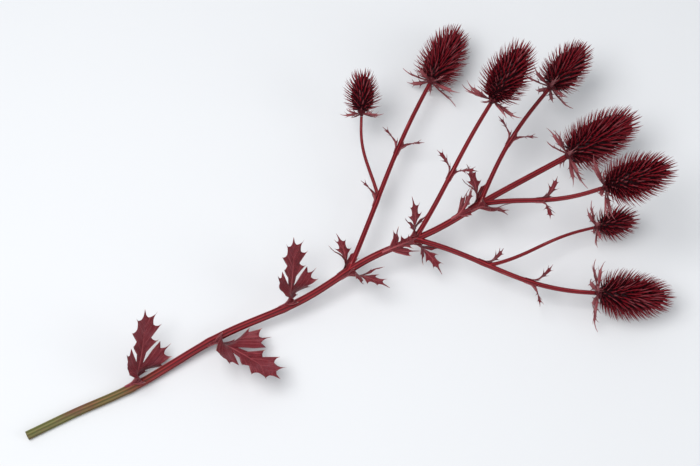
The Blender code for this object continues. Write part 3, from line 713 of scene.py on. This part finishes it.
def core_sections(out, height):
    """The core's cross sections, closer together towards its top by a power, with a bevel at the
    foot and low knobs: a sine wave round it that turns as it climbs. The last one is just short
    of the top, where the radius is nil."""
    rows = np.concatenate([[0.0], np.linspace(0.0, 1, CORE_ROWS)[1:-1] ** 0.9, [CORE_TOP]])
    core_out = np.interp(rows, np.linspace(0, 1, PROFILE_POINTS), out)
    core_out[0] *= CORE_BEVEL
    turn = np.linspace(0, 2 * np.pi, CORE_COLUMNS, endpoint=False)
    knobs = 1 + CORE_RELIEF * np.sin(CORE_KNOBS * turn[None] + CORE_KNOB_TURN * rows[:, None])
    return rings(core_out, rows * height, turn, knobs)


def spiral_on(out, height, room, first):
    """Places on the core, each a golden angle on from the last and with the same room: equal
    steps of the area summed from the foot. It gives radius, height, bearing and slope."""
    step = np.hypot(np.diff(out), np.diff(height))
    area = np.concatenate([[0], np.cumsum(np.pi * (out[1:] + out[:-1]) * step)])
    count = int(area[-1] / room)
    wanted = (np.arange(count) + first) * area[-1] / count
    slope = np.arctan2(-np.gradient(out), np.gradient(height))
    return (np.interp(wanted, area, out), np.interp(wanted, area, height),
            (np.arange(count) + first - 0.5) * GOLDEN, np.interp(wanted, area, slope))


def growing(out, level, bearing, lean):
    """Things that grow from the core, each leaning up from square to its axis: their roots, the
    way that each grows, and the way up across it."""
    around = np.stack([np.cos(bearing), np.sin(bearing), np.zeros(len(out))], axis=-1)
    way = np.cos(lean)[:, None] * around + np.sin(lean)[:, None] * UP
    rise = -np.sin(lean)[:, None] * around + np.cos(lean)[:, None] * UP
    return out[:, None] * around + level[:, None] * UP, way, rise


def thorn_sections(root, way, rise, length, half_width, thick, rows, columns, sweep):
    """Many thorns at once. A thorn's middle line runs from its root along its way, and sags under
    it by a parabola that is zero at both ends, so that its tip sweeps up. Its cross section is an
    ellipse that narrows to a point by a power of what is left of the thorn."""
    side = np.cross(rise, way)
    middle = (root[:, None] + (length[:, None] * rows)[..., None] * way[:, None]
              - (sweep * length[:, None] * 4 * rows * (1 - rows))[..., None] * rise[:, None])
    narrow = (1 - rows) ** THORN_TAPER + 0.02
    angle = np.linspace(0, 2 * np.pi, columns, endpoint=False)
    across = (np.cos(angle)[None, None, :, None] * (half_width * narrow)[..., None, None]
              * side[:, None, None])
    over = (np.sin(angle)[None, None, :, None] * (thick * narrow)[..., None, None]
            * rise[:, None, None])
    return middle[:, :, None] + across + over


def in_head(vectors, head):
    """Turns vectors about a head's own +Z to point the way that the head points."""
    turned = Vector(AIMS[head]).to_track_quat("Z", "X").to_matrix()
    return vectors @ np.array(turned).T


def spines_of(head, draw, out, level, spine):
    """A head's spines, and a number drawn for each. A spine that would go through the floor is
    cut to the length at which it stops just above it."""
    r, z, bearing, _ = spiral_on(out, level, SPINE_ROOM, 0.5)
    count = len(r)
    bearing = bearing + draw.normal(0, BEARING_STRAY, count)
    lean = np.interp(z / level[-1], [0, 1], SPINE_LEAN) + draw.normal(0, LEAN_STRAY, count)
    root, way, rise = growing(r, z, bearing, np.radians(lean))
    chance = draw.random(count)
    length = (spine + SPINE_MORE) * MM * (1 + draw.uniform(*SPINE_UNEVEN, count))
    length = length * np.interp(z / level[-1], *SPINE_SHARES) + SPINE_SUNK
    root = root - SPINE_SUNK * way
    climb = in_head(way, head)[:, 2]
    room = in_head(root, head)[:, 2] + feet[head][2] - FLOOR_CLEAR
    length = np.where(room + climb * length < 0, room / np.maximum(-climb, 1e-6), length)
    wide = SPINE_HALF_WIDTH * (0.85 + 0.3 * draw.random((count, 1)))
    return thorn_sections(root, way, rise, length, wide, SPINE_FLATNESS * wide, SPINE_ROWS,
                          SPINE_COLUMNS, SPINE_SWEEP), chance


def florets_of(draw, out, level):
    """A head's florets: short blunt thorns, one between each two spines of the spiral. They
    follow the core's slope in part."""
    r, z, bearing, slope = spiral_on(out, level, SPINE_ROOM, 1.0)
    usual, most = np.radians(FLORET_TILT)
    tilt = usual + FLORET_FOLLOWS * slope + draw.normal(0, FLORET_STRAY, len(r))
    root, way, rise = growing(r, z, bearing, tilt.clip(max=most))
    wide = FLORET_RADIUS * (0.9 + 0.2 * draw.random((len(r), 1)))
    return thorn_sections(root - FLORET_SUNK * way, way, rise, np.full(len(r), FLORET_LENGTH),
                          wide, wide, FLORET_ROWS, FLORET_COLUMNS, 0.0)


def gathered(parts):
    """Closed tubes of several kinds as one mesh. Each kind comes with its layers of numbers."""
    points, faces, layers = [], [], {}
    for sections, numbers in parts:
        more, joined = tubes(sections)
        before = sum(len(p) for p in points)
        faces += [[i + before for i in face] for face in joined]
        points.append(more)
        for title, values in numbers.items():
            values = np.broadcast_to(values, sections.shape[:3]).reshape(-1)
            layers.setdefault(title, []).append(values)
    return np.concatenate(points), faces, {t: np.concatenate(v) for t, v in layers.items()}


head_skin, head_shader, spot = new_skin("head_skin", 0.5, 0.12)
stretch = layer(spot, "stretch")
chance = layer(spot, "chance")
tone = layer(spot, "tone")
fibre = spot.noise(900, 3)
# Painted shade at each spine's foot, deep among the spines, fading out along it.
head_colour = stretch.between(0.05, 0.55).mix(SPINE_FOOT_SHADE, SPINE_BODY)
head_colour = (chance * 0.8 + 0.6 * (fibre - 0.5) + tone - 0.25).between(0.35, 1.0).mix(
    head_colour, stretch.between(0.05, 0.6).mix(SPINE_FOOT_SHADE, SPINE_BRIGHT))
# Painted sheen: about a fifth of the spines, at random, turn mauve from near the foot outwards.
head_colour = (chance.between(0.70, 0.80) * stretch.between(0.15, 0.6)).mix(
    head_colour, SPINE_PAINTED_SHEEN)
# The spines' tips: their own paler colour, made paler still by a painted highlight.
head_colour = (stretch + 0.12 * (chance - 0.5)).between(0.72, 1.04).mix(head_colour, SPINE_END_AND_HIGHLIGHT)
# The core in its own near-black, darkened further by painted shade.
head_colour = layer(spot, "core").mix(head_colour, CORE_COLOUR_AND_SHADE)
paint(head_shader, head_colour, 0.42 + 0.2 * fibre, fibre, 0.08 * MM)

for seed, (head, (radius, height, spine)) in enumerate(HEADS.items(), HEAD_SEED):
    draw = np.random.default_rng(seed)
    out, level = core_profile(radius * MM, height * MM)
    spines, chances = spines_of(head, draw, out, level, spine)
    florets = florets_of(draw, out, level)
    points, faces, layers = gathered([
        (core_sections(out, level[-1])[None], {"stretch": 0.0, "core": 1.0, "chance": 0.5}),
        (spines, {"stretch": SPINE_ROWS[:, None], "core": 0.0,
                  "chance": chances[:, None, None]}),
        (florets, {"stretch": FLORET_STRETCH[:, None], "core": FLORET_CORE,
                   "chance": draw.random(len(florets))[:, None, None]}),
    ])
    make_piece("spiny_head_" + head, in_head(points, head) + feet[head], faces, head_skin,
               "spines", "head_" + head, tone=draw.uniform(*HEAD_TONES), **layers)

# The bract collars: the swollen end of the stem under each head, with six to eight narrow stiff
# bracts growing from it like a ruff, each with a few spines on its edges.

HEAD_BRACTS = {  # how many bracts, and the bearing of the first in degrees
    "top": (8, 10),
    "left_low": (7, 20),
    "right_low": (7, 12),
    "left_high": (7, 0),
    "right_high": (7, 30),
    "left_middle": (7, 8),
    "left_small": (6, 25),
    "right_small": (6, 5),
}
COLLAR_ROWS = 12
COLLAR_COLUMNS = 42
COLLAR_WIDE = 0.92  # at its top, as a share of the foot of the core
COLLAR_RELIEF = 0.03
COLLAR_RIPPLES = 7
COLLAR_LANES = (-5, 5)  # round it, where a bract's go from -1 to 1
BRACT_ROOT = 0.45  # how far out a bract starts, as a share of the collar
BRACT_LENGTH = 30 * MM
BRACT_UNEVEN = (0.82, 1.12)
BRACT_BACK = (-6, 8)  # degrees more that a bract leans away from the head
BRACT_BENDS = (98, 100, 92)  # degrees from the head's axis, from its foot outwards
BRACT_TIPS = (58, 66, 78, 118)  # and at its tip
BRACT_STRAY = 0.12
BRACT_HALF_WIDTH = 2.7 * MM
BRACT_THICK = 0.55 * MM
BRACT_DISH = 10 * MM
BRACT_TWIST = 46
BRACT_TWIST_RUN = (0.12, 0.4)
BRACT_SPINE = 1.3 * MM
BRACT_WAVE = 0.4  # as a share of a leaf's
BRACT_MESH = (4, 6)
BRACT_SEED = 100
BRACT_OUTLINE = [(0, 0.4), (0.22, 0.58), (0.45, 1.6), (0.38, 0.62), (0.52, 0.66), (0.72, 1.3),
                 (0.65, 0.44)]
GROUND_CLEAR = 0.4 * MM
BRACT_SHORTER = 0.94
BRACT_DEEP = (0.078, 0.005, 0.010)
BRACT_FACE = (0.235, 0.030, 0.040)
BRACT_BLUSH = (0.360, 0.120, 0.130)


def collar_sections(stem_radius, wide):
    """A collar's cross sections. It widens from the stem to the head by a power of a raised
    cosine, with low ripples that grow with it."""
    share = np.linspace(0, 1, COLLAR_ROWS)
    level = (-GAP - COLLAR_HEIGHT) + (COLLAR_HEIGHT + GAP) * share
    out = stem_radius * 1.02 + (wide - stem_radius) * (0.5 - 0.5 * np.cos(np.pi * share)) ** 0.8
    turn = np.linspace(0, 2 * np.pi, COLLAR_COLUMNS, endpoint=False)
    ripple = 1 + COLLAR_RELIEF * np.cos(COLLAR_RIPPLES * turn)[None] * share[:, None]
    return rings(out, level, turn, ripple)


def bract(root, bearing, length, bends, twist):
    """A bract's cross sections, in the head's own frame. It is a shallow parabola across, it
    curves along its midrib, and past its foot it turns about it."""
    outward = np.array([np.cos(bearing), np.sin(bearing), 0])
    aside = np.cross(UP, outward)
    start = root * outward - 0.5 * COLLAR_HEIGHT * UP
    along = curving(bends, length, start, outward, UP)

    def bend(u, v):
        middle, front = along(u)
        turned = np.radians(twist) * np.interp(u / length, BRACT_TWIST_RUN, [0, 1])[..., None]
        sideways = np.cos(turned) * aside + np.sin(turned) * front
        front = np.cos(turned) * front - np.sin(turned) * aside
        dish = v**2 / BRACT_DISH
        return middle + v[..., None] * sideways + dish[..., None] * front, front

    width = BRACT_HALF_WIDTH * (length / BRACT_LENGTH) ** 0.5
    across, steps = BRACT_MESH
    edge, near, drawn_out, raised = toothed_edge(BRACT_OUTLINE, length, width, [], steps,
                                                 BRACT_SPINE)
    return blade_sections(edge, near, drawn_out, BRACT_WAVE * raised, bend, 0.0, across,
                          BRACT_THICK)


bract_skin, bract_shader, spot = new_skin("bract_skin", 0.42, 0.2, 0.03, 0.04)
reach = layer(spot, "reach")
lanes = spot.node("ShaderNodeCombineXYZ", {}, {0: layer(spot, "side"), 1: reach,
                                               2: layer(spot, "which")})
streak = lanes.noise(1.0, 3, (3.4, 2.2, 7.0))
speck = spot.noise(650, 3)
lines = lanes.noise(1.0, 2, (12.0, 2.5, 7.0)).between(0.46, 0.66)
bract_colour = (0.9 * streak + 0.5 * (speck - 0.5) + 0.8 * reach).between(0.45, 0.95).mix(
    BRACT_DEEP, BRACT_FACE)
bract_colour = (layer(spot, "vein") ** 2 * 0.5).mix(bract_colour, LEAF_VEIN)
bract_colour = (reach + 0.5 * (streak - 0.5) + 0.4 * (speck - 0.5)).between(0.25, 1.0).mix(
    bract_colour, BRACT_BLUSH)
bract_colour = (lines * 0.42).mix(bract_colour, BRACT_DEEP)
bract_colour = layer(spot, "tip").between(0.1, 0.7).mix(bract_colour, SPINE_TIP)
paint(bract_shader, bract_colour, 0.38 + 0.2 * streak,
      0.5 * streak + 0.6 * speck - 0.8 * lines, 0.14 * MM)

for seed, (head, (count, first_turn)) in enumerate(HEAD_BRACTS.items(), BRACT_SEED):
    draw = np.random.default_rng(seed)
    radius = HEADS[head][0]
    wide = COLLAR_WIDE * CORE_FOOT * radius * MM
    size = (radius / HEADS["top"][0]) ** 0.8
    collar = collar_sections(axes["main" if head == "top" else head].radii[-1], wide)
    parts = [(collar[None], {"vein": 0.0, "tip": 0.0, "reach": 0.0, "which": 0.0,
                             "side": np.linspace(*COLLAR_LANES, COLLAR_COLUMNS)})]
    for i in range(count):
        stray = draw.uniform(-BRACT_STRAY, BRACT_STRAY)
        bearing = np.radians(first_turn + 360 * (i + stray) / count)
        length = BRACT_LENGTH * size * draw.uniform(*BRACT_UNEVEN)
        back = draw.uniform(*BRACT_BACK)
        tip = draw.choice(BRACT_TIPS)
        while True:
            bends = [(0, BRACT_BENDS[0]), (0.25 * length, BRACT_BENDS[1] + back),
                     (0.6 * length, BRACT_BENDS[2] + back), (length, tip + back)]
            loop, layers = bract(BRACT_ROOT * wide, bearing, length, bends,
                                 (-1) ** i * BRACT_TWIST)
            if (in_head(loop, head)[..., 2] + feet[head][2]).min() > GROUND_CLEAR:
                break
            length *= BRACT_SHORTER
        del layers["lane"]
        parts.append((loop[None], layers | {"reach": np.linspace(0, 1, len(loop))[:, None],
                                            "which": float(i)}))
    points, faces, layers = gathered(parts)
    make_piece("ruff_of_bracts_" + head, in_head(points, head) + feet[head], faces, bract_skin,
               "bracts", "bracts_" + head, **layers)

# The studio: a pale seamless floor, a large soft light above and a weaker one at the side, and
# a camera that looks down on the stem.

FLOOR_SIZE = 8
FLOOR_DROP = 0.1 * MM
FLOOR_COLOUR = (0.74, 0.75, 0.765, 1)
SKY_COLOUR = (0.93, 0.96, 1.0, 1)
SKY_STRENGTH = 0.50
LAMPS = [  # name, place, size in metres, watts
    ("soft_top", (-0.42, 0.12, 1.3), 0.9, 15.5),
    ("soft_side", (0.9, -0.9, 0.7), 0.8, 4),
]
LAMPS_AIM = Vector((0.05, 0, 0))
LOOK_AT = Vector((0.023, 0.020, 0.030))
CAMERA_TURN = -27
CAMERA_RISE = 68
CAMERA_AWAY = 1.40
CAMERA_LENS = 85

bpy.ops.mesh.primitive_plane_add(size=FLOOR_SIZE, location=(0, 0, -FLOOR_DROP))
floor = bpy.context.object
floor.name = "studio_floor"
floor_skin, floor_shader, _ = new_skin("floor_skin", 0.9)
floor_shader.inputs["Base Color"].default_value = FLOOR_COLOUR
floor.data.materials.append(floor_skin)

world = bpy.data.worlds.new("studio")
bpy.context.scene.world = world
world.use_nodes = True
world.node_tree.nodes["Background"].inputs["Color"].default_value = SKY_COLOUR
world.node_tree.nodes["Background"].inputs["Strength"].default_value = SKY_STRENGTH

for name, place, size, watts in LAMPS:
    lamp = bpy.data.objects.new(name, bpy.data.lights.new(name, "AREA"))
    lamp.data.size = size
    lamp.data.energy = watts
    lamp.location = place
    lamp.rotation_mode = "QUATERNION"
    lamp.rotation_quaternion = (LAMPS_AIM - lamp.location).to_track_quat("-Z", "Y")
    bpy.context.collection.objects.link(lamp)

turn, rise = np.radians(CAMERA_TURN), np.radians(CAMERA_RISE)
camera = bpy.data.objects.new("camera", bpy.data.cameras.new("camera"))
camera.data.lens = CAMERA_LENS
camera.location = LOOK_AT + CAMERA_AWAY * Vector((np.sin(turn) * np.cos(rise),
                                                  -np.cos(turn) * np.cos(rise), np.sin(rise)))
camera.rotation_mode = "QUATERNION"
camera.rotation_quaternion = (LOOK_AT - camera.location).to_track_quat("-Z", "Y")
bpy.context.collection.objects.link(camera)
bpy.context.scene.camera = camera
bpy.context.scene.view_settings.view_transform = "Standard"
